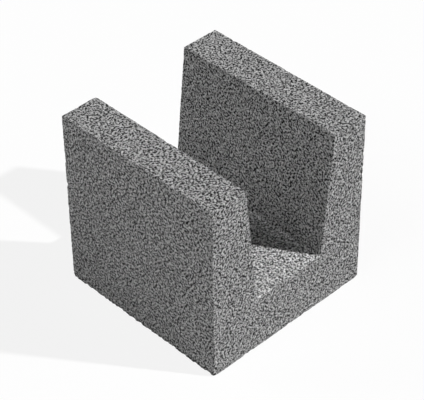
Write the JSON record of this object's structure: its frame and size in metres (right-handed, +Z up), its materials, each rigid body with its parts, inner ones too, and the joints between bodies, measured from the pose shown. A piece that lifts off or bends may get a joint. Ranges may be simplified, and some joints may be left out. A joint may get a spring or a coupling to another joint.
{
  "type": "concrete u-block",
  "caption": "Square cast concrete block with an open, tapered channel along its length, laid in a wall to hold bars and poured concrete.",
  "frame": {"origin": "middle of the bed face, the flat underside that the block stands on", "axes": "+Z up, out of the open side of the channel; +Y along the channel, towards the back end face; +X across the walls, to the right"},
  "size_m": [0.2, 0.2, 0.2],
  "materials": {
    "concrete": "matte"
  },
  "bodies": {
    "root": {"u_block": "concrete"}
  },
  "joints": []
}
